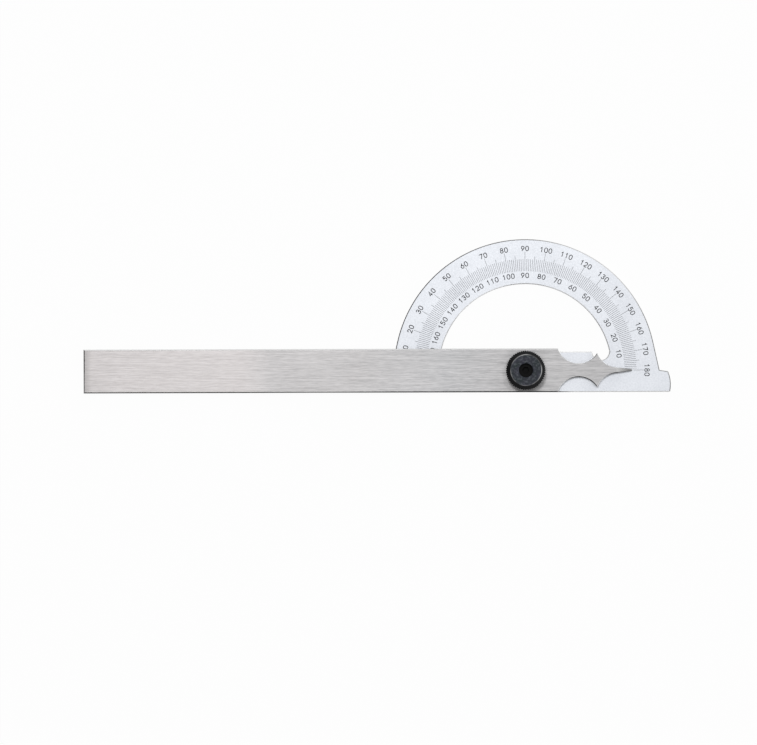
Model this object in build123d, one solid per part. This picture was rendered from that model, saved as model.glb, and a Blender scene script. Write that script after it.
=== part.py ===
from build123d import *
from math import acos, atan2, cos, hypot, pi, radians, sin, sqrt
import os

# Protractor with an open half-ring dial, a swinging pointer blade and a knurled clamp knob.
# Sizes are millimetres. The origin is on the pivot axis, at the dial's flat back. +Z points
# from the back towards the knob, +X along the blade to its pointer, +Y to the top of the arc.

# Dial plate: a half ring on a straight base, with a hub bar that carries the pivot
arc_diameter = 120.0
ring_width = 20.5
dial_thickness = 1.5
arc_foot_angle = 12.5
base_overhang = 6.6
base_end_fall = 0.8
base_end_radius = 15.0
base_end_level = 6.6
base_corner_radius = 0.5
hub_rise = 8.5
relief_radius = 3.9
dial_edge_chamfer = 0.4

# Blade: a straight bar that ends in a waisted pointer, whose tip reaches over the scale
blade_width = 20.0
blade_thickness = 2.0
handle_length = 202.0
needle_setback = 11.3
needle_length = 6.45
needle_root_width = 2.5
barb_width = 15.6
waist_width = 6.1
scallop_radius = 10.0
needle_tip_width = 0.7
needle_tip_thickness = 0.8
needle_bevel_length = 7.0
blade_edge_chamfer = 0.5
blade_back_chamfer = 0.12
scallop_edge_chamfer = 0.3

# Pivot bush: pressed into the dial from the back, closed at the bottom, threaded inside
bush_diameter = 8.0
bush_flange_width = 1.5
bush_flange_thickness = 0.7
bush_floor = 0.5
bush_mouth_chamfer = 0.25
bush_setback = 0.1

# Washers: the first two reach out past the bush, the third past the screw
spacer_width = 4.0
spacer_thickness = 0.3
flat_washer_overlap = 2.0
flat_washer_thickness = 1.0
flat_washer_chamfer = 0.25
spring_washer_width = 2.5
spring_washer_thickness = 0.5
spring_washer_bow = 0.4

# Clamp screw: a socket head cap screw, with its thread as a plain cylinder
screw_diameter = 4.0
screw_head_diameter = 7.0
screw_head_height = 4.0
screw_head_chamfer = 0.4
screw_tip_chamfer = 0.5
screw_tip_gap = 0.2
socket_across_flats = 3.0
socket_depth = 2.0

# Clamp knob: a cap pressed over the screw head, with a straight knurl on its rim
knob_diameter = 18.0
knob_lip_height = 2.5
knob_lip_overlap = 0.3
knob_bevel_width = 2.0
knob_bevel_height = 1.8
knob_face_edge = 0.25
knob_window_chamfer = 0.3
knob_collar_margin = 1.0
knob_collar_height = 0.8
knob_rim_chamfer = 0.5
knurl_teeth = 56
knurl_depth = 0.4
knurl_crest_share = 0.3

# Radial clearances of the fits
press_clearance = 0.01
pivot_clearance = 0.03
thread_clearance = 0.03
washer_clearance = 0.15

# Sizes that follow from the ones above
arc_radius = arc_diameter / 2
window_radius = arc_radius - ring_width
arc_foot_reach = arc_radius / cos(radians(arc_foot_angle))
base_depth = blade_width / 2
base_half_length = arc_radius + base_overhang
needle_reach = arc_radius - needle_setback
bush_flange_diameter = bush_diameter + 2 * bush_flange_width
spacer_diameter = bush_diameter + 2 * spacer_width
flat_washer_diameter = bush_diameter + 2 * flat_washer_overlap
spring_washer_diameter = screw_diameter + 2 * spring_washer_width
knob_face_diameter = knob_diameter - 2 * knob_bevel_width
knob_window_diameter = screw_head_diameter - 2 * knob_lip_overlap
knob_collar_diameter = spring_washer_diameter + 2 * knob_collar_margin

# Heights of the stack on the pivot axis, from the dial's back
dial_top = dial_thickness
blade_bottom = dial_top + spacer_thickness
blade_top = blade_bottom + blade_thickness
bush_top = blade_top - bush_setback
flat_washer_top = blade_top + flat_washer_thickness
head_seat = flat_washer_top + spring_washer_thickness + spring_washer_bow
head_top = head_seat + screw_head_height
knob_top = head_top + knob_lip_height


def disc(radius, bottom, top):
    """A plain cylinder on the pivot axis between two heights."""
    return Pos(0, 0, bottom) * extrude(Circle(radius), top - bottom)


def outline_edges(solid, height):
    """The edges of a solid that lie flat at one height."""
    return solid.edges().filter_by_position(Axis.Z, height, height)


def half_ring_sketch():
    """The half disc of the arc. Near the base its outer edge runs straight on, outwards."""
    half_disc = Circle(arc_radius) & Pos(0, arc_radius) * Rectangle(arc_diameter, arc_diameter)
    foot_x = arc_radius * cos(radians(arc_foot_angle))
    foot_y = arc_radius * sin(radians(arc_foot_angle))
    feet = Polygon(
        (-arc_foot_reach, 0),
        (arc_foot_reach, 0),
        (foot_x, foot_y),
        (-foot_x, foot_y),
        align=None,
    )
    return half_disc + feet


def base_sketch():
    """The straight base: its ends stand out past the arc, fall away a little and are crowned."""
    bar = Polygon(
        (-base_half_length, -base_depth),
        (base_half_length, -base_depth),
        (base_half_length, -base_end_fall),
        (arc_foot_reach, 0),
        (-arc_foot_reach, 0),
        (-base_half_length, -base_end_fall),
        align=None,
    )
    crown_x = base_half_length - base_end_radius
    crowned = Pos(0, -base_end_level) * Rectangle(2 * crown_x, 2 * base_end_radius)
    for side in (-1, 1):
        crowned += Pos(side * crown_x, -base_end_level) * Circle(base_end_radius)
    base = bar & crowned
    ends = [corner for corner in base.vertices() if abs(corner.X) > arc_foot_reach + base_corner_radius]
    return fillet(ends, base_corner_radius)


def window_sketch():
    """The opening inside the ring: a part disc above the hub bar, with a round relief each side."""
    above_hub = Pos(0, hub_rise + arc_radius) * Rectangle(arc_diameter, arc_diameter)
    part_disc = Circle(window_radius) & above_hub
    relief_reach = sqrt((window_radius - relief_radius) ** 2 - hub_rise**2)
    for side in (-1, 1):
        part_disc += Pos(side * relief_reach, hub_rise) * Circle(relief_radius)
    return part_disc


def dial_plate():
    plate = extrude(half_ring_sketch() + base_sketch() - window_sketch(), dial_thickness)
    plate = chamfer(outline_edges(plate, dial_thickness), dial_edge_chamfer)
    plate -= disc(bush_diameter / 2 + press_clearance, 0, dial_thickness)
    plate -= disc(bush_flange_diameter / 2 + press_clearance, 0, bush_flange_thickness)
    return plate


def pivot_bush():
    bush = disc(bush_flange_diameter / 2, 0, bush_flange_thickness)
    bush += disc(bush_diameter / 2, 0, bush_top)
    bush -= disc(screw_diameter / 2 + thread_clearance, bush_floor, bush_top)
    return chamfer(outline_edges(bush, bush_top), bush_mouth_chamfer)


def ring_washer(diameter, bore_diameter, bottom, thickness):
    """A flat washer on the pivot axis."""
    top = bottom + thickness
    return disc(diameter / 2, bottom, top) - disc(bore_diameter / 2, bottom, top)


def spacer_washer():
    bore = bush_diameter + 2 * washer_clearance
    return ring_washer(spacer_diameter, bore, dial_top, spacer_thickness)


def flat_washer():
    bore = screw_diameter + 2 * washer_clearance
    washer = ring_washer(flat_washer_diameter, bore, blade_top, flat_washer_thickness)
    rim = outline_edges(washer, flat_washer_top).sort_by(SortBy.LENGTH)[-1]
    return chamfer(rim, flat_washer_chamfer)


def spring_washer():
    """A washer bent about one axis: its crest is on top, and two sides of its rim stand below."""
    half = spring_washer_diameter / 2
    bend_radius = (half**2 + spring_washer_bow**2) / (2 * spring_washer_bow)
    centre_height = flat_washer_top + spring_washer_bow - bend_radius
    bent = Cylinder(bend_radius + spring_washer_thickness, spring_washer_diameter, rotation=(90, 0, 0))
    bent -= Cylinder(bend_radius, spring_washer_diameter, rotation=(90, 0, 0))
    ring = ring_washer(
        spring_washer_diameter,
        screw_diameter + 2 * washer_clearance,
        flat_washer_top,
        spring_washer_thickness + spring_washer_bow,
    )
    return ring & Pos(0, 0, centre_height) * bent


def pointer_half():
    """The upper edge of the blade, from the middle of its far end round to the needle's tip."""
    half_width = blade_width / 2
    half_waist = waist_width / 2
    barb_y = barb_width / 2
    tip_half = needle_tip_width / 2

    # The outer scallop ends in the needle's straight side, and starts at the barb
    outer_x = needle_reach - needle_length
    outer_y = needle_root_width / 2 + scallop_radius
    barb_x = outer_x - sqrt(scallop_radius**2 - (outer_y - barb_y) ** 2)

    # The inner scallop ends at the barb, and starts at the shoulder of the straight edge
    inner_y = half_waist + scallop_radius
    inner_x = barb_x - sqrt(scallop_radius**2 - (inner_y - barb_y) ** 2)
    shoulder_x = inner_x - sqrt(scallop_radius**2 - (inner_y - half_width) ** 2)

    # The needle's side touches the outer scallop
    to_tip = hypot(needle_reach - outer_x, outer_y - tip_half)
    tip_direction = atan2(tip_half - outer_y, needle_reach - outer_x)
    touch_direction = tip_direction - acos(scallop_radius / to_tip)
    touch = (
        outer_x + scallop_radius * cos(touch_direction),
        outer_y + scallop_radius * sin(touch_direction),
    )

    return [
        Line((-handle_length, 0), (-handle_length, half_width)),
        Line((-handle_length, half_width), (shoulder_x, half_width)),
        ThreePointArc((shoulder_x, half_width), (inner_x, half_waist), (barb_x, barb_y)),
        RadiusArc((barb_x, barb_y), touch, -scallop_radius),
        Line(touch, (needle_reach, tip_half)),
        Line((needle_reach, tip_half), (needle_reach, 0)),
    ]


def blade():
    upper = pointer_half()
    lower = [mirror(edge, about=Plane.XZ) for edge in upper]
    bar = Pos(0, 0, blade_bottom) * extrude(make_face(upper + lower), blade_thickness)

    # The straight edges get a broad chamfer in front, the scallops and the back a fine one
    front_edges = outline_edges(bar, blade_top)
    scallops = front_edges.filter_by(GeomType.CIRCLE)
    bar = chamfer(scallops, scallop_edge_chamfer)
    straight = [edge for edge in outline_edges(bar, blade_top) if edge.center().X < 0]
    bar = chamfer(straight, blade_edge_chamfer)
    back = [edge for edge in outline_edges(bar, blade_bottom) if edge.center().X < 0]
    bar = chamfer(back, blade_back_chamfer)

    # The needle is ground down towards its tip, which brings it close to the scale
    bevel = Polygon(
        (needle_reach - needle_bevel_length, blade_top),
        (needle_reach, blade_bottom + needle_tip_thickness),
        (needle_reach, blade_top),
        align=None,
    )
    bar -= extrude(Plane.XZ * bevel, blade_width, both=True)
    return bar - disc(bush_diameter / 2 + pivot_clearance, blade_bottom, blade_top)


def clamp_screw():
    tip = bush_floor + screw_tip_gap
    shank = disc(screw_diameter / 2, tip, head_seat)
    shank = chamfer(outline_edges(shank, tip), screw_tip_chamfer)
    head = disc(screw_head_diameter / 2, head_seat, head_top)
    head = chamfer(outline_edges(head, head_top), screw_head_chamfer)
    socket = RegularPolygon(socket_across_flats / 2, 6, major_radius=False)
    return shank + head - Pos(0, 0, head_top - socket_depth) * extrude(socket, socket_depth)


def knurl_sketch():
    """The rim's cross-section: straight teeth with a flat crest and a sharp root."""
    crest_radius = knob_diameter / 2
    root_radius = crest_radius - knurl_depth
    pitch = 2 * pi / knurl_teeth
    corners = []
    for tooth in range(knurl_teeth):
        middle = tooth * pitch
        for angle, radius in (
            (middle - pitch * knurl_crest_share / 2, crest_radius),
            (middle + pitch * knurl_crest_share / 2, crest_radius),
            (middle + pitch / 2, root_radius),
        ):
            corners.append((radius * cos(angle), radius * sin(angle)))
    return Polygon(*corners, align=None)


def clamp_knob():
    rim = knob_diameter / 2
    face = knob_face_diameter / 2
    collar = knob_collar_diameter / 2
    window = knob_window_diameter / 2
    socket = screw_head_diameter / 2 + press_clearance
    rim_bottom = head_seat + knob_collar_height
    bevel_slope = knob_bevel_height / (rim - face)
    profile = Polygon(
        (socket, head_seat),
        (collar, head_seat),
        (collar, rim_bottom),
        (rim - knob_rim_chamfer, rim_bottom),
        (rim, rim_bottom + knob_rim_chamfer),
        (rim, knob_top - knob_bevel_height),
        (face + knob_face_edge / 2, knob_top - knob_face_edge / 2 * bevel_slope),
        (face - knob_face_edge / 2, knob_top),
        (window + knob_window_chamfer, knob_top),
        (window, knob_top - knob_window_chamfer),
        (window, head_top),
        (socket, head_top),
        align=None,
    )
    blank = revolve(Plane.XZ * profile, Axis.Z)
    knurled = Pos(0, 0, rim_bottom) * extrude(knurl_sketch(), knob_top - rim_bottom)
    return blank & (knurled + disc(collar, head_seat, rim_bottom))


pieces = {
    "dial_plate": dial_plate,
    "pivot_bush": pivot_bush,
    "spacer_washer": spacer_washer,
    "blade": blade,
    "flat_washer": flat_washer,
    "spring_washer": spring_washer,
    "clamp_screw": clamp_screw,
    "clamp_knob": clamp_knob,
}

os.makedirs("parts", exist_ok=True)
for name, make in pieces.items():
    piece = make()
    piece.label = name
    export_step(piece, f"parts/{name}.step")
    print(name, round(piece.volume, 2))
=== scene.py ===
import math

import bmesh
import bpy
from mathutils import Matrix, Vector


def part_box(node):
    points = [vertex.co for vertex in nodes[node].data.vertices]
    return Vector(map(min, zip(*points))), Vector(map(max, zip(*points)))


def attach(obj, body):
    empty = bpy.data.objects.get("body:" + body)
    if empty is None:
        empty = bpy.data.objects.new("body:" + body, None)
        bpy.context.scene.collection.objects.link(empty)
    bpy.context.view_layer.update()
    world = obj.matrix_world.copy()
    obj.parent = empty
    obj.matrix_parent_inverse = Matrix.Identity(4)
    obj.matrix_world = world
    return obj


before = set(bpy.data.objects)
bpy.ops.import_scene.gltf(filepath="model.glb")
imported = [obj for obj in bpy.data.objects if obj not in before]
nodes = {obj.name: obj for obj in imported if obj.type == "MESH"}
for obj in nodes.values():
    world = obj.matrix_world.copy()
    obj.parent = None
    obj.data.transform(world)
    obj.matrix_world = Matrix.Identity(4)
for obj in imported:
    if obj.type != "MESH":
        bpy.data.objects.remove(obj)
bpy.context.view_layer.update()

MM = 0.001


# The protractor's own places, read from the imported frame
dial_low, dial_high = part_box("dial_plate")
blade_low, blade_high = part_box("blade")
knob_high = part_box("clamp_knob")[1]
dial_face = dial_high.z
arc_radius = dial_high.y


# Camera: straight above, with a long lens, framed as in the photograph
PHOTO_WIDTH_PX = 757
PHOTO_HEIGHT_PX = 745
PHOTO_PIVOT_PX = (525.4, 370.75)
PHOTO_ARC_RADIUS_PX = 131.2
CAMERA_LENS_MM = 260.0
CAMERA_SENSOR_MM = 36.0
CAMERA_ROLL_DEG = 0.17
CAMERA_REACH = 100.0

# Light: a small key lamp towards the upper right, a broad one towards the upper left, a soft sky
KEY_PLACE = (0.34, 0.42, 1.30)
KEY_SIZE = 0.14
KEY_WATTS = 1.3
FILL_PLACE = (-0.19, 0.42, 1.44)
FILL_SIZE = 0.26
FILL_WATTS = 3.8
SKY_TOP = 0.62
SKY_LIT_SIDE = 1.20
SKY_DARK_SIDE = 0.20
SKY_TURN = (-0.6, 0.7)
SKY_RISE = (0.35, 0.98)
LIT_HEADING = (0.80, 0.60)

# Floor
FLOOR_HALF = 3.0
FLOOR_DROP = 0.05 * MM
FLOOR_WHITE_SHARE = 0.95

# How far a surface looks along the pivot axis: faces, and chamfers round the front
FACE_SLOPE = (0.80, 0.95)
FRONT_CHAMFER_SLOPE = (0.35, 0.50)

# How a noise is stretched, from its darker to its lighter parts
TONE_SPREAD = (0.38, 0.62)
SOFT_SPREAD = (0.3, 0.7)
CLOUD_SPREAD = (0.35, 0.65)
FINE_BUMP = 0.01 * MM

# Blade face: scratches and streaks in waves per metre along X, Y and Z, and its greys
BLADE_TINT = (1.0, 0.975, 0.980)
BLADE_SCRATCHES = (250.0, 3100.0, 3100.0)
BLADE_STREAKS = (45.0, 1800.0, 1800.0)
BLADE_CLOUDS = (30.0, 60.0, 60.0)
BLADE_FACE_GREYS = (0.36, 0.66)
BLADE_WALL_GREYS = (0.34, 0.54)
BLADE_CLOUD_GREY = 0.41
BLADE_CLOUD_SHARE = 0.2
BLADE_ROUGHNESS = (0.40, 0.50)

# Blade face: slow changes of tone along the bar, as places on X and shares of a colour. Besides a
# warm and a cool tint, they are painted light: lighter and darker stretches that stand in for the
# lamps' gradient along the bar, a painted highlight on the pointer and painted shade at the far end
WARM_FADE = (-130.0 * MM, -116.0 * MM)
WARM_SHARE = 0.08
WARM_COLOUR = (0.98, 0.82, 0.78, 1.0)
# Painted shade: a darker stretch of the bar
PAINTED_DIM_RISE = (-124.0 * MM, -114.0 * MM)
PAINTED_DIM_FALL = (-108.0 * MM, -92.0 * MM)
PAINTED_DIM_SHARE = 0.06
# A cool tint, a little painted lighter
COOL_RISE = (-78.0 * MM, -38.0 * MM)
COOL_FALL = (-34.0 * MM, -10.0 * MM)
COOL_SHARE = 0.06
COOL_COLOUR = (0.85, 1.00, 1.10, 1.0)
# Painted highlight: the pointer painted lighter than the bar
PAINTED_SHEEN_RISE = (-2.0 * MM, 14.0 * MM)
PAINTED_SHEEN_SHARE = 0.08
# Painted shade: the last few millimetres of the far end painted darker
END_PAINTED_SHADE = (0.4 * MM, 3.5 * MM)
END_PAINTED_SHADE_SHARE = 0.30
PAINTED_DIM_GREY = 0.10

# The needle's ground slope, seen from above, with painted shade that darkens it towards its tip and
# along its lower side
NEEDLE_SLOPE = 7.0 * MM
NEEDLE_TIP = 1.0 * MM
NEEDLE_TIP_HALF = 0.35 * MM
NEEDLE_ROOT_HALF = 1.3 * MM
NEEDLE_SIDE = (0.1 * MM, 0.5 * MM)
NEEDLE_SLOPE_FROM = (0.94, 0.96)
NEEDLE_SLOPE_TO = (0.989, 0.996)
NEEDLE_TIP_GREY = 0.36
NEEDLE_ROOT_GREY = 0.80
NEEDLE_SIDE_GREY = 0.18

# Blade edges: painted shade, dark where they turn away from the lit side, painted paler along a
# stretch of the lower edge and down the far end
BLADE_EDGE_TURN = (-0.37, 0.0)
BLADE_EDGE_GREYS = (0.012, 0.75)
EDGE_PALER_RISE = (-125.0 * MM, -100.0 * MM)
EDGE_PALER_FALL = (-85.0 * MM, -55.0 * MM)
EDGE_PALER_SHARES = (0.20, 0.55)
EDGE_PALER_GREY = 0.55
END_PALER_HEIGHTS = (6.0 * MM, -10.0 * MM)
END_PALER_SHARE = 0.45
END_PALER_GREY = 0.50

# Dial
DIAL_TOOTH = 3000.0
DIAL_GRAIN = 1300.0
DIAL_CLOUDS = 60.0
DIAL_DARK = (0.739, 0.762, 0.808, 1.0)
DIAL_LIGHT = (0.837, 0.860, 0.905, 1.0)
DIAL_WALL_DARK = (0.56, 0.58, 0.62, 1.0)
DIAL_WALL_LIGHT = (0.70, 0.72, 0.77, 1.0)
DIAL_ROUGHNESS = (0.46, 0.56)
# Dial edges: painted shade where they turn away from the lit side, painted light towards the lit
# side, inside the window and on part of the foot
DIAL_LIT_HEADING = (0.57, 0.82)
DIAL_EDGE_GREYS = (0.05, 0.72)
WINDOW_RADIUS = (50.0 * MM, 49.0 * MM)
WINDOW_FOOT = (2.0 * MM, 3.0 * MM)
FOOT_PLACE = (15.0 * MM, 22.0 * MM)
FOOT_GREY = 0.92
WINDOW_LIT_RISE = (8.0 * MM, 12.0 * MM)
WINDOW_LIT_FALL = (30.0 * MM, 33.0 * MM)
WINDOW_LIT_GREY = 0.97

# Sides that look down or to the far end, by how far they turn there
LOOKING_BACK = (-0.4, -0.6)
LOOKING_DOWN = (-0.5, -0.6)

# Knob: the face painted lighter than the coat as a painted reflection, and a rim line that is
# partly worn bare and partly painted highlight
KNOB_BEVEL = 2.0 * MM
KNOB_COAT = (0.0045, 0.0045, 0.0055, 1.0)
KNOB_FACE_GREEN = (0.029, 0.042, 0.046, 1.0)
KNOB_FACE_VIOLET = (0.052, 0.052, 0.076, 1.0)
KNOB_FACE_DARK = (0.014, 0.016, 0.020, 1.0)
KNOB_FACE_BRIGHT = (0.110, 0.120, 0.135, 1.0)
# Rim line: bare metal, painted brighter and further down the bevel on the lit side and at two fixed
# places, as a painted highlight
KNOB_RIM_GREYS = (0.36, 0.70)
KNOB_RIM_SHIFT = (-0.05 * MM, 0.30 * MM)
KNOB_RIM_WIDTH = (0.08 * MM, 0.24 * MM)
KNOB_HIGHLIGHT_RIGHT = ((0.95, -0.31), 5.4 * MM, 6.7 * MM)
KNOB_HIGHLIGHT_UPPER_LEFT = ((-0.42, 0.91), 5.9 * MM, 6.8 * MM)
KNOB_HIGHLIGHT_SHARE = 0.80

# Scale on the dial, in metres from the pivot axis
TICK_START = 45.4 * MM
TICK_END = {1: 50.9 * MM, 5: 52.3 * MM, 10: 54.3 * MM}
TICK_WIDTH = 0.135 * MM
INK_PROUD = 0.012 * MM
INK_SUNK = 0.010 * MM
OUTER_NUMERALS_RADIUS = 55.75 * MM
INNER_NUMERALS_RADIUS = 43.45 * MM
NUMERAL_HEIGHT = 2.1 * MM
NUMERAL_WIDTH = 1.3 * MM
NUMERAL_PITCH = 2.0 * MM
NUMERAL_STROKE = 0.34 * MM
NUMERAL_STEP_DEG = 10
STROKE_END = 0.6
SHARPEST_CORNER = 0.45


def make_camera():
    """Looks straight down, +Y up in the picture, with the pivot where the photograph has it."""
    metres_per_px = arc_radius / PHOTO_ARC_RADIUS_PX
    right = (PHOTO_WIDTH_PX / 2 - PHOTO_PIVOT_PX[0]) * metres_per_px
    up = (PHOTO_PIVOT_PX[1] - PHOTO_HEIGHT_PX / 2) * metres_per_px
    distance = PHOTO_WIDTH_PX * metres_per_px * CAMERA_LENS_MM / CAMERA_SENSOR_MM
    data = bpy.data.cameras.new("camera")
    data.lens = CAMERA_LENS_MM
    data.sensor_width = CAMERA_SENSOR_MM
    data.clip_end = CAMERA_REACH
    camera = bpy.data.objects.new("camera", data)
    camera.location = (right, up, blade_high.z + distance)
    camera.rotation_euler = (0, 0, -math.radians(CAMERA_ROLL_DEG))
    bpy.context.scene.collection.objects.link(camera)
    bpy.context.scene.camera = camera


class Nodes:
    """Small helper that builds one node tree."""

    def __init__(self, tree):
        self.tree = tree
        tree.nodes.clear()

    def add(self, kind, **settings):
        node = self.tree.nodes.new(kind)
        for key, value in settings.items():
            setattr(node, key, value)
        return node

    def link(self, source, target):
        self.tree.links.new(source, target)

    def put(self, node, socket, value):
        """Sets a socket to a number or a colour, or links it to another socket."""
        if isinstance(value, bpy.types.NodeSocket):
            self.link(value, node.inputs[socket])
        else:
            node.inputs[socket].default_value = value

    def math(self, operation, first, second=0.0, clamp=False):
        node = self.add("ShaderNodeMath", operation=operation, use_clamp=clamp)
        self.put(node, 0, first)
        self.put(node, 1, second)
        return node.outputs[0]

    def plus(self, first, second):
        return self.math("ADD", first, second)

    def minus(self, first, second):
        return self.math("SUBTRACT", first, second)

    def times(self, first, second):
        return self.math("MULTIPLY", first, second)

    def larger(self, first, second):
        return self.math("MAXIMUM", first, second)

    def size_of(self, value):
        return self.math("ABSOLUTE", value)

    def weigh(self, first, first_share, second, second_share):
        """The sum of two values, each with its own share."""
        return self.plus(self.times(first, first_share), self.times(second, second_share))

    def span(self, value, low, high, to_low=0.0, to_high=1.0, smooth=False):
        """Maps a value from one range onto another, clamped."""
        kind = "SMOOTHSTEP" if smooth else "LINEAR"
        node = self.add("ShaderNodeMapRange", interpolation_type=kind)
        for index, number in enumerate((value, low, high, to_low, to_high)):
            self.put(node, index, number)
        return node.outputs[0]

    def stretch(self, value, rise, fall, before=0.0, top=1.0, after=0.0):
        """A level that rises over one range of a value and falls over a later one."""
        return self.times(self.span(value, *rise, before, top), self.span(value, *fall, 1.0, after))

    def mix(self, factor, first, second):
        node = self.add("ShaderNodeMix", data_type="RGBA")
        self.put(node, 0, factor)
        self.put(node, 6, first)
        self.put(node, 7, second)
        return node.outputs[2]

    def split(self, vector):
        parts = self.add("ShaderNodeSeparateXYZ")
        self.link(vector, parts.inputs[0])
        return parts.outputs[0], parts.outputs[1], parts.outputs[2]

    def along(self, x, y, heading):
        """How far a direction or a place lies towards a heading in the dial's plane."""
        return self.weigh(x, heading[0], y, heading[1])

    def towards(self, x, y, heading, low, high):
        """Rises from 0 to 1 as a direction or a place comes to lie towards a heading."""
        return self.span(self.along(x, y, heading), low, high)


class Shader(Nodes):
    """One material, with the places and directions that its colours depend on."""

    def __init__(self, name):
        self.material = bpy.data.materials.new(name)
        self.material.use_nodes = True
        super().__init__(self.material.node_tree)
        self.output = self.add("ShaderNodeOutputMaterial")

    def place(self):
        """The point on the piece, in metres."""
        return self.add("ShaderNodeTexCoord").outputs["Object"]

    def normal(self):
        """The surface direction in the piece's own axes."""
        return self.add("ShaderNodeTexCoord").outputs["Normal"]

    def noise(self, vector, scale, detail=4.0, roughness=0.6):
        """Noise whose grain is set for all axes or per axis, in waves per metre."""
        mapping = self.add("ShaderNodeMapping")
        self.link(vector, mapping.inputs["Vector"])
        per_axis = scale if isinstance(scale, tuple) else (scale, scale, scale)
        mapping.inputs["Scale"].default_value = per_axis
        node = self.add("ShaderNodeTexNoise")
        self.link(mapping.outputs[0], node.inputs["Vector"])
        node.inputs["Scale"].default_value = 1.0
        node.inputs["Detail"].default_value = detail
        node.inputs["Roughness"].default_value = roughness
        return node.outputs["Fac"]

    def bump(self, height, strength, depth=FINE_BUMP):
        node = self.add("ShaderNodeBump")
        node.inputs["Strength"].default_value = strength
        node.inputs["Distance"].default_value = depth
        self.link(height, node.inputs["Height"])
        return node.outputs["Normal"]

    def on_face(self, normal_z):
        """1 on faces that look along the pivot axis, 0 on side walls and chamfers."""
        return self.span(self.size_of(normal_z), *FACE_SLOPE)

    def on_front_chamfer(self, normal_z):
        """1 on the chamfers round the front, 0 on the upright walls and the back."""
        return self.span(normal_z, *FRONT_CHAMFER_SLOPE)

    def principled(self, **values):
        node = self.add("ShaderNodeBsdfPrincipled")
        for name, value in values.items():
            self.put(node, name.replace("_", " "), value)
        self.link(node.outputs[0], self.output.inputs["Surface"])
        return self.material


def grey(level, tint=(1.0, 1.0, 1.0)):
    return (level * tint[0], level * tint[1], level * tint[2], 1.0)


def brushing_spread(shader):
    """The direction across the brushing, in which it spreads the light, carried by the piece."""
    across = shader.add("ShaderNodeCombineXYZ")
    across.inputs[1].default_value = 1.0
    turn = shader.add(
        "ShaderNodeVectorTransform",
        vector_type="VECTOR",
        convert_from="OBJECT",
        convert_to="WORLD",
    )
    shader.link(across.outputs[0], turn.inputs[0])
    return turn.outputs[0]


def from_axis(shader, x, y):
    """Distance from the pivot axis."""
    return shader.math("SQRT", shader.plus(shader.times(x, x), shader.times(y, y)))


def turned_place(shader, x, y, z):
    """Distance from the pivot axis, angle round it and height, as the point of a turned surface."""
    joined = shader.add("ShaderNodeCombineXYZ")
    for index, part in enumerate((from_axis(shader, x, y), shader.math("ARCTAN2", y, x), z)):
        shader.link(part, joined.inputs[index])
    return joined.outputs[0]


def blade_tones(shader, x, face):
    """The slow changes of tone along the bar, mostly painted light: a warm and a cool tint, with
    painted lighter and darker stretches.
    """
    # Warmer and painted lighter towards the far end, painted darker after that, cooler and a little
    # painted lighter near the pivot
    warm = shader.span(x, *WARM_FADE, WARM_SHARE, 0.0)
    face = shader.mix(warm, face, WARM_COLOUR)
    painted_dim = shader.stretch(x, PAINTED_DIM_RISE, PAINTED_DIM_FALL, top=PAINTED_DIM_SHARE)
    face = shader.mix(painted_dim, face, grey(PAINTED_DIM_GREY))
    cool = shader.stretch(x, COOL_RISE, COOL_FALL, top=COOL_SHARE, after=0.5)
    face = shader.mix(cool, face, COOL_COLOUR)

    # Painted highlight: the pointer is painted brighter than the bar. Painted shade: the last few
    # millimetres of the far end are painted darker
    face = shader.mix(shader.span(x, *PAINTED_SHEEN_RISE, 0.0, PAINTED_SHEEN_SHARE), face, grey(1.0))
    far_end = shader.minus(x, blade_low.x)
    painted_mark = shader.span(far_end, *END_PAINTED_SHADE, END_PAINTED_SHADE_SHARE, 0.0)
    return shader.mix(painted_mark, face, grey(PAINTED_DIM_GREY))


def needle_slope(shader, x, y, normal_z, face):
    """The needle's ground slope, painted darker towards its tip, most of all along its lower side:
    painted shade.
    """
    ground = shader.stretch(shader.size_of(normal_z), NEEDLE_SLOPE_FROM, NEEDLE_SLOPE_TO)
    to_tip = shader.minus(blade_high.x, x)
    half = shader.span(to_tip, 0.0, NEEDLE_SLOPE, NEEDLE_TIP_HALF, NEEDLE_ROOT_HALF)
    from_tip = shader.span(to_tip, NEEDLE_TIP, NEEDLE_SLOPE)
    shaded = shader.mix(from_tip, grey(NEEDLE_TIP_GREY), grey(NEEDLE_ROOT_GREY))
    # Painted shadow: a dark line along the needle's lower side
    from_side = shader.span(shader.plus(y, half), *NEEDLE_SIDE)
    shaded = shader.mix(from_side, grey(NEEDLE_SIDE_GREY), shaded)
    return shader.mix(ground, face, shaded)


def blade_edge(shader, x, y, normal_x, normal_y):
    """Edges: painted shade, dark below and on the left, painted paler along a stretch of the lower
    one and towards the bottom of the far end.
    """
    lit = shader.towards(normal_x, normal_y, LIT_HEADING, *BLADE_EDGE_TURN)
    low_share, high_share = EDGE_PALER_SHARES
    edge_paler = shader.stretch(x, EDGE_PALER_RISE, EDGE_PALER_FALL, before=low_share, top=high_share)
    edge_paler = shader.times(edge_paler, shader.span(normal_y, *LOOKING_DOWN))
    dark, bright = BLADE_EDGE_GREYS
    # Painted shade: chamfers turned away from the lit side are dark
    edge = shader.mix(lit, grey(dark), grey(bright))
    edge = shader.mix(edge_paler, edge, grey(EDGE_PALER_GREY))
    # Painted shade at the far end, painted paler towards its bottom
    end_paler = shader.times(
        shader.span(normal_x, *LOOKING_BACK),
        shader.span(y, *END_PALER_HEIGHTS),
    )
    return shader.mix(shader.times(end_paler, END_PALER_SHARE), edge, grey(END_PALER_GREY))


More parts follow.
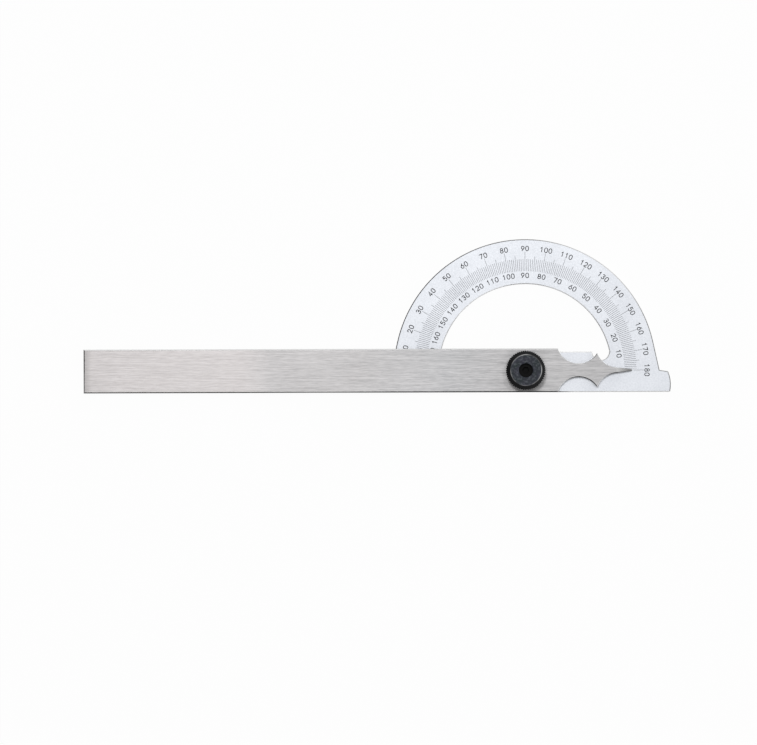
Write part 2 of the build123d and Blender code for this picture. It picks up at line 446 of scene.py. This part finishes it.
def brushed_blade():
    """Steel ground along its length: long fine scratches, and edges painted darker below as painted
    shade.
    """
    shader = Shader("brushed_steel_blade")
    place = shader.place()
    x, y, _ = shader.split(place)
    normal_x, normal_y, normal_z = shader.split(shader.normal())
    fine = shader.noise(place, BLADE_SCRATCHES, detail=4.0, roughness=0.65)
    streaks = shader.noise(place, BLADE_STREAKS, detail=3.0)
    clouds = shader.noise(place, BLADE_CLOUDS, detail=2.0)
    grain = shader.weigh(fine, 0.55, streaks, 0.45)
    tone = shader.span(grain, *TONE_SPREAD)

    dark, light = BLADE_FACE_GREYS
    face = shader.mix(tone, grey(dark, BLADE_TINT), grey(light, BLADE_TINT))
    cloudy = shader.span(clouds, *CLOUD_SPREAD, 0.0, BLADE_CLOUD_SHARE)
    face = shader.mix(cloudy, face, grey(BLADE_CLOUD_GREY))
    face = blade_tones(shader, x, face)
    face = needle_slope(shader, x, y, normal_z, face)

    dark, light = BLADE_WALL_GREYS
    wall = shader.mix(tone, grey(dark, BLADE_TINT), grey(light, BLADE_TINT))
    edge = blade_edge(shader, x, y, normal_x, normal_y)
    edge = shader.mix(shader.on_front_chamfer(normal_z), wall, edge)
    return shader.principled(
        Base_Color=shader.mix(shader.on_face(normal_z), edge, face),
        Metallic=1.0,
        Roughness=shader.span(grain, *SOFT_SPREAD, *BLADE_ROUGHNESS),
        Anisotropic=0.8,
        Tangent=brushing_spread(shader),
        Normal=shader.bump(grain, 0.25, 2 * FINE_BUMP),
    )


def dial_edge(shader, x, y, normal_x, normal_y):
    """Edges: painted light where they look up and right, and inside the window, painted shade
    elsewhere.
    """
    lit = shader.weigh(
        shader.towards(normal_x, normal_y, DIAL_LIT_HEADING, -0.05, 0.58), 0.38,
        shader.towards(normal_x, normal_y, DIAL_LIT_HEADING, 0.60, 0.70), 0.55,
    )
    inside = shader.times(
        shader.span(from_axis(shader, x, y), *WINDOW_RADIUS),
        shader.span(y, *WINDOW_FOOT),
    )
    # Painted light: the foot's lower edge right of the pivot is painted pale
    foot = shader.times(shader.span(x, *FOOT_PLACE), shader.span(normal_y, *LOOKING_BACK))
    dark, painted_lit = DIAL_EDGE_GREYS
    edge = shader.mix(shader.larger(lit, inside), grey(dark), grey(painted_lit))
    edge = shader.mix(foot, edge, grey(FOOT_GREY))

    # Inside the ring the edge is painted as bright as the face, a painted highlight, but for its
    # top and its two ends
    window_lit = shader.stretch(shader.size_of(x), WINDOW_LIT_RISE, WINDOW_LIT_FALL)
    return shader.mix(shader.times(inside, window_lit), edge, grey(WINDOW_LIT_GREY))


def satin_dial():
    """Matt chromed steel: an even, faintly blue white with a very fine tooth, and edges painted
    darker as painted shade.
    """
    shader = Shader("satin_chrome_dial")
    place = shader.place()
    x, y, _ = shader.split(place)
    normal_x, normal_y, normal_z = shader.split(shader.normal())
    tooth = shader.noise(place, DIAL_TOOTH, detail=2.0)
    grain = shader.noise(place, DIAL_GRAIN, detail=3.0)
    clouds = shader.noise(place, DIAL_CLOUDS, detail=3.0)
    tone = shader.span(shader.weigh(grain, 0.6, clouds, 0.4), *TONE_SPREAD)
    face = shader.mix(tone, DIAL_DARK, DIAL_LIGHT)
    wall = shader.mix(tone, DIAL_WALL_DARK, DIAL_WALL_LIGHT)
    edge = dial_edge(shader, x, y, normal_x, normal_y)
    edge = shader.mix(shader.on_front_chamfer(normal_z), wall, edge)
    return shader.principled(
        Base_Color=shader.mix(shader.on_face(normal_z), edge, face),
        Metallic=1.0,
        Roughness=shader.span(tooth, *SOFT_SPREAD, *DIAL_ROUGHNESS),
        Normal=shader.bump(tooth, 0.15),
    )


def turned_metal(name, low, high, roughness, metallic=1.0, tint=(1.0, 1.0, 1.0), gloss=0.5):
    """A lathe-turned surface: fine rings round the pivot axis."""
    shader = Shader(name)
    rings_place = turned_place(shader, *shader.split(shader.place()))
    rings = shader.noise(rings_place, (7000.0, 1.2, 5000.0), detail=3.0)
    tone = shader.span(rings, *SOFT_SPREAD)
    return shader.principled(
        Base_Color=shader.mix(tone, grey(low, tint), grey(high, tint)),
        Metallic=metallic,
        Roughness=shader.span(rings, *SOFT_SPREAD, roughness - 0.06, roughness + 0.06),
        Specular_IOR_Level=gloss,
        Normal=shader.bump(rings, 0.2),
    )


def knob_face(shader, tone, specks, blotches):
    """The knob's turned face, between green and violet, with dark rings and bright specks, painted
    lighter than the coat as a painted reflection.
    """
    face = shader.mix(shader.span(blotches, *CLOUD_SPREAD), KNOB_FACE_GREEN, KNOB_FACE_VIOLET)
    face = shader.mix(shader.span(tone, 0.38, 0.60, 0.60, 0.0), face, KNOB_FACE_DARK)
    return shader.mix(shader.span(specks, 0.50, 0.66, 0.0, 0.85), face, KNOB_FACE_BRIGHT)


def black_knob():
    """Black oxide over knurled steel: a blue-grey turned face painted lighter than the coat as a
    painted reflection, with a bright rim round it that is partly worn bare and partly painted
    highlight.
    """
    shader = Shader("black_oxide_knob")
    place = shader.place()
    x, y, height = shader.split(place)
    radius = from_axis(shader, x, y)
    rings = shader.noise(turned_place(shader, x, y, height), (5000.0, 1.5, 5000.0), detail=4.0)
    blotches = shader.noise(place, 350.0, detail=3.0)
    specks = shader.noise(place, 900.0, detail=4.0)
    wear = shader.noise(place, 260.0, detail=2.0)
    tone = shader.weigh(rings, 0.5, specks, 0.5)

    face_radius = knob_high.x - KNOB_BEVEL
    face_here = shader.times(
        shader.span(radius, face_radius + 0.15 * MM, face_radius),
        shader.span(height, knob_high.z - 0.6 * MM, knob_high.z - 0.4 * MM),
    )
    # Painted reflection: the flat face gets a lighter colour than the same coat on the bevel and
    # knurl
    coat = shader.mix(face_here, KNOB_COAT, knob_face(shader, tone, specks, blotches))

    # The rim's bright line, a painted highlight that is brighter and runs further down the bevel on
    # the lit side
    lit_side = shader.towards(x, y, LIT_HEADING, 0.0, knob_high.x)
    lit_side = shader.math("DIVIDE", lit_side, 0.8, clamp=True)
    inner, outer = KNOB_RIM_SHIFT
    rim_radius = shader.span(lit_side, 0.0, 1.0, face_radius + inner, face_radius + outer)
    off_rim = shader.size_of(shader.minus(radius, rim_radius))
    near_top = shader.span(height, knob_high.z - 0.9 * MM, knob_high.z - 0.7 * MM)
    painted_mark = shader.times(shader.span(off_rim, *KNOB_RIM_WIDTH, 1.0, 0.0), near_top)

    # It is rubbed bare at random, and painted brighter at the right and the upper left as a painted
    # highlight
    highlighted = shader.larger(
        shader.towards(x, y, *KNOB_HIGHLIGHT_RIGHT),
        shader.towards(x, y, *KNOB_HIGHLIGHT_UPPER_LEFT),
    )
    wear_and_highlight_share = shader.larger(
        shader.span(wear, 0.40, 0.58, 0.10, 0.85),
        shader.times(highlighted, KNOB_HIGHLIGHT_SHARE),
    )
    painted_mark = shader.times(painted_mark, wear_and_highlight_share)
    dark, bright = KNOB_RIM_GREYS
    rim = shader.mix(lit_side, grey(dark), grey(bright))
    return shader.principled(
        Base_Color=shader.mix(painted_mark, coat, rim),
        Metallic=shader.times(painted_mark, 0.8),
        Roughness=shader.span(rings, *SOFT_SPREAD, 0.36, 0.48),
        Specular_IOR_Level=0.18,
        Normal=shader.bump(tone, 0.3),
    )


def scale_ink():
    """Black filling of the engraved scale, a little uneven."""
    shader = Shader("scale_ink")
    uneven = shader.noise(shader.place(), 2500.0, detail=2.0)
    return shader.principled(
        Base_Color=shader.mix(shader.span(uneven, *SOFT_SPREAD), grey(0.010), grey(0.032)),
        Roughness=0.6,
        Specular_IOR_Level=0.2,
        Normal=shader.bump(uneven, 0.2),
    )


def dress(node, material):
    """Gives a CAD node its material."""
    mesh = nodes[node].data
    mesh.materials.clear()
    mesh.materials.append(material)


def slab(mesh, outline, bottom, top):
    """Adds one closed flat prism over a counter-clockwise outline to a bmesh."""
    lower = [mesh.verts.new((x, y, bottom)) for x, y in outline]
    upper = [mesh.verts.new((x, y, top)) for x, y in outline]
    mesh.faces.new(upper)
    mesh.faces.new(list(reversed(lower)))
    count = len(outline)
    for i in range(count):
        j = (i + 1) % count
        mesh.faces.new((lower[i], lower[j], upper[j], upper[i]))


def finish_piece(name, mesh, material, body):
    """Turns a bmesh into a piece of the model that rides on a body."""
    data = bpy.data.meshes.new(name)
    mesh.normal_update()
    mesh.to_mesh(data)
    mesh.free()
    data.materials.append(material)
    piece = bpy.data.objects.new(name, data)
    bpy.context.scene.collection.objects.link(piece)
    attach(piece, body)


def dial_point(degrees, radius, sideways=0.0):
    """A point on the dial. Degrees are read on the outer scale, clockwise from the left."""
    angle = math.radians(180 - degrees)
    outward = (math.cos(angle), math.sin(angle))
    clockwise = (outward[1], -outward[0])
    return (
        outward[0] * radius + clockwise[0] * sideways,
        outward[1] * radius + clockwise[1] * sideways,
    )


def make_ticks(ink):
    """The division lines, one each degree, longer at 5 and longest at 10."""
    mesh = bmesh.new()
    half = TICK_WIDTH / 2
    for degrees in range(181):
        step = max(length for length in TICK_END if degrees % length == 0)
        corners = [
            dial_point(degrees, TICK_START, half),
            dial_point(degrees, TICK_END[step], half),
            dial_point(degrees, TICK_END[step], -half),
            dial_point(degrees, TICK_START, -half),
        ]
        slab(mesh, corners, dial_face - INK_SUNK, dial_face + INK_PROUD)
    finish_piece("scale_ticks", mesh, ink, "dial")


def bow(centre, radii, start, end, steps=14):
    """Points of an elliptical bow from one angle to another, in degrees."""
    points = []
    for i in range(steps + 1):
        angle = math.radians(start + (end - start) * i / steps)
        across = centre[0] + radii[0] * math.cos(angle)
        points.append((across, centre[1] + radii[1] * math.sin(angle)))
    return points


# Each numeral is one or more pen strokes in a box 1 wide and 1 high
STROKES = {
    "0": [
        bow((0.5, 0.66), (0.5, 0.34), 0, 180)
        + bow((0.5, 0.34), (0.5, 0.34), 180, 360)
        + [(1.0, 0.66)],
    ],
    "1": [[(0.18, 0.76), (0.55, 1.0), (0.55, 0.0)]],
    "2": [bow((0.5, 0.70), (0.46, 0.30), 170, -32) + [(0.02, 0.0), (1.0, 0.0)]],
    "3": [
        bow((0.47, 0.75), (0.42, 0.25), 155, -90)
        + bow((0.47, 0.27), (0.50, 0.27), 90, -155),
    ],
    "4": [[(0.72, 0.0), (0.72, 1.0), (0.0, 0.28), (1.0, 0.28)]],
    "5": [
        [(0.90, 1.0), (0.16, 1.0), (0.10, 0.56)]
        + bow((0.48, 0.32), (0.50, 0.32), 128, -150),
    ],
    "6": [[(0.78, 1.0), (0.12, 0.50)] + bow((0.5, 0.32), (0.48, 0.32), 160, -200, 22)],
    "7": [[(0.0, 1.0), (1.0, 1.0), (0.35, 0.0)]],
    "8": [
        bow((0.5, 0.75), (0.40, 0.25), -90, 270, 20),
        bow((0.5, 0.26), (0.50, 0.26), 90, 450, 20),
    ],
    "9": [[(0.22, 0.0), (0.88, 0.50)] + bow((0.5, 0.68), (0.48, 0.32), -20, 340, 22)],
}


def stroke_outline(points, half):
    """The outline of a pen stroke of one width along a line of points."""
    left, right = [], []
    last = len(points) - 1
    for i, (x, y) in enumerate(points):
        before = points[max(i - 1, 0)]
        after = points[min(i + 1, last)]
        into = Vector((x - before[0], y - before[1]))
        out = Vector((after[0] - x, after[1] - y))
        if into.length == 0:
            into = out
        if out.length == 0:
            out = into
        into.normalize()
        out.normalize()
        along = into + out
        if along.length < 1e-6:
            along = Vector((-into.y, into.x))
        along.normalize()
        side = Vector((-along.y, along.x))
        reach = half / max(side.dot(Vector((-into.y, into.x))), SHARPEST_CORNER)
        extend = {0: -half * STROKE_END, last: half * STROKE_END}.get(i, 0.0)
        centre = Vector((x, y)) + along * extend
        left.append(tuple(centre + side * reach))
        right.append(tuple(centre - side * reach))
    return left, right


def pen_stroke(mesh, points, half, to_dial):
    """Adds one stroke as a closed ribbon with flat top and bottom."""
    left, right = stroke_outline(points, half)
    bottom = dial_face - INK_SUNK
    top = dial_face + INK_PROUD
    rows = []
    for a, b in zip(left, right):
        a = to_dial(a)
        b = to_dial(b)
        corners = ((*a, top), (*b, top), (*b, bottom), (*a, bottom))
        rows.append([mesh.verts.new(corner) for corner in corners])
    for one, two in zip(rows, rows[1:]):
        for i in range(4):
            j = (i + 1) % 4
            mesh.faces.new((one[i], one[j], two[j], two[i]))
    mesh.faces.new(list(reversed(rows[0])))
    mesh.faces.new(rows[-1])


def write_number(mesh, text, degrees, radius):
    """Writes a number along the arc, centred on its division line, its foot towards the pivot."""
    for index, digit in enumerate(text):
        middle = (index - (len(text) - 1) / 2) * NUMERAL_PITCH
        turn = degrees + math.degrees(middle / radius)

        def to_dial(point, turn=turn):
            across = point[0] - NUMERAL_WIDTH / 2
            out = point[1] - NUMERAL_HEIGHT / 2
            return dial_point(turn, radius + out, across)

        for stroke in STROKES[digit]:
            scaled = [(x * NUMERAL_WIDTH, y * NUMERAL_HEIGHT) for x, y in stroke]
            pen_stroke(mesh, scaled, NUMERAL_STROKE / 2, to_dial)


def make_numerals(ink):
    """Outer row 0 to 180 from the left, inner row 0 to 180 from the right."""
    for name, radius, backwards in (
        ("scale_numerals_outer", OUTER_NUMERALS_RADIUS, False),
        ("scale_numerals_inner", INNER_NUMERALS_RADIUS, True),
    ):
        mesh = bmesh.new()
        for degrees in range(0, 181, NUMERAL_STEP_DEG):
            shown = 180 - degrees if backwards else degrees
            write_number(mesh, str(shown), degrees, radius)
        bmesh.ops.recalc_face_normals(mesh, faces=mesh.faces)
        finish_piece(name, mesh, ink, "dial")


def make_floor():
    """A plain white floor that keeps a soft shadow of the object."""
    data = bpy.data.meshes.new("floor")
    half = FLOOR_HALF
    level = dial_low.z - FLOOR_DROP
    corners = [(-half, -half), (half, -half), (half, half), (-half, half)]
    data.from_pydata([(x, y, level) for x, y in corners], [], [(0, 1, 2, 3)])
    floor = bpy.data.objects.new("floor", data)
    bpy.context.scene.collection.objects.link(floor)

    shader = Shader("floor")
    matt = shader.add("ShaderNodeBsdfDiffuse")
    matt.inputs["Color"].default_value = grey(1.0)
    white = shader.add("ShaderNodeEmission")
    white.inputs["Color"].default_value = grey(1.0)
    ray = shader.add("ShaderNodeLightPath")
    seen = shader.larger(ray.outputs["Is Camera Ray"], ray.outputs["Is Glossy Ray"])
    seen = shader.larger(seen, ray.outputs["Is Transmission Ray"])
    both = shader.add("ShaderNodeMixShader")
    shader.link(shader.times(seen, FLOOR_WHITE_SHARE), both.inputs[0])
    shader.link(matt.outputs[0], both.inputs[1])
    shader.link(white.outputs[0], both.inputs[2])
    shader.link(both.outputs[0], shader.output.inputs["Surface"])
    data.materials.append(shader.material)


def make_sky():
    """Soft daylight: bright above and on the lit side, darker low down opposite it."""
    world = bpy.data.worlds.new("sky")
    bpy.context.scene.world = world
    world.use_nodes = True
    sky = Nodes(world.node_tree)
    x, y, z = sky.split(sky.add("ShaderNodeTexCoord").outputs["Generated"])
    heading = sky.along(x, y, LIT_HEADING)
    low_sky = sky.span(heading, *SKY_TURN, SKY_DARK_SIDE, SKY_LIT_SIDE, smooth=True)
    level = sky.add("ShaderNodeMix", data_type="FLOAT")
    sky.link(sky.span(z, *SKY_RISE, smooth=True), level.inputs[0])
    sky.link(low_sky, level.inputs[2])
    level.inputs[3].default_value = SKY_TOP
    background = sky.add("ShaderNodeBackground")
    sky.link(level.outputs[0], background.inputs["Strength"])
    output = sky.add("ShaderNodeOutputWorld")
    sky.link(background.outputs[0], output.inputs["Surface"])


def make_lamp(name, place, size, watts):
    """A square soft lamp that looks at the origin."""
    data = bpy.data.lights.new(name, "AREA")
    data.shape = "SQUARE"
    data.size = size
    data.energy = watts
    lamp = bpy.data.objects.new(name, data)
    lamp.location = place
    lamp.rotation_euler = Vector(place).to_track_quat("Z", "Y").to_euler()
    bpy.context.scene.collection.objects.link(lamp)


make_camera()
make_floor()
make_sky()
make_lamp("key_lamp", KEY_PLACE, KEY_SIZE, KEY_WATTS)
make_lamp("fill_lamp", FILL_PLACE, FILL_SIZE, FILL_WATTS)
bpy.context.scene.view_settings.view_transform = "Standard"

dress("blade", brushed_blade())
dress("dial_plate", satin_dial())
dress("clamp_knob", black_knob())
dress("clamp_screw", turned_metal(
    "black_oxide_screw", 0.003, 0.008, 0.45, metallic=0.0, gloss=0.08,
))
dress("pivot_bush", turned_metal("turned_steel_bush", 0.45, 0.60, 0.30))
dress("spacer_washer", turned_metal("brass_shim", 0.50, 0.62, 0.35, tint=(1.0, 0.80, 0.42)))
dress("flat_washer", turned_metal("zinc_washer", 0.52, 0.66, 0.34, tint=(1.0, 1.0, 1.03)))
dress("spring_washer", turned_metal("spring_steel_washer", 0.18, 0.28, 0.36))

ink = scale_ink()
make_ticks(ink)
make_numerals(ink)
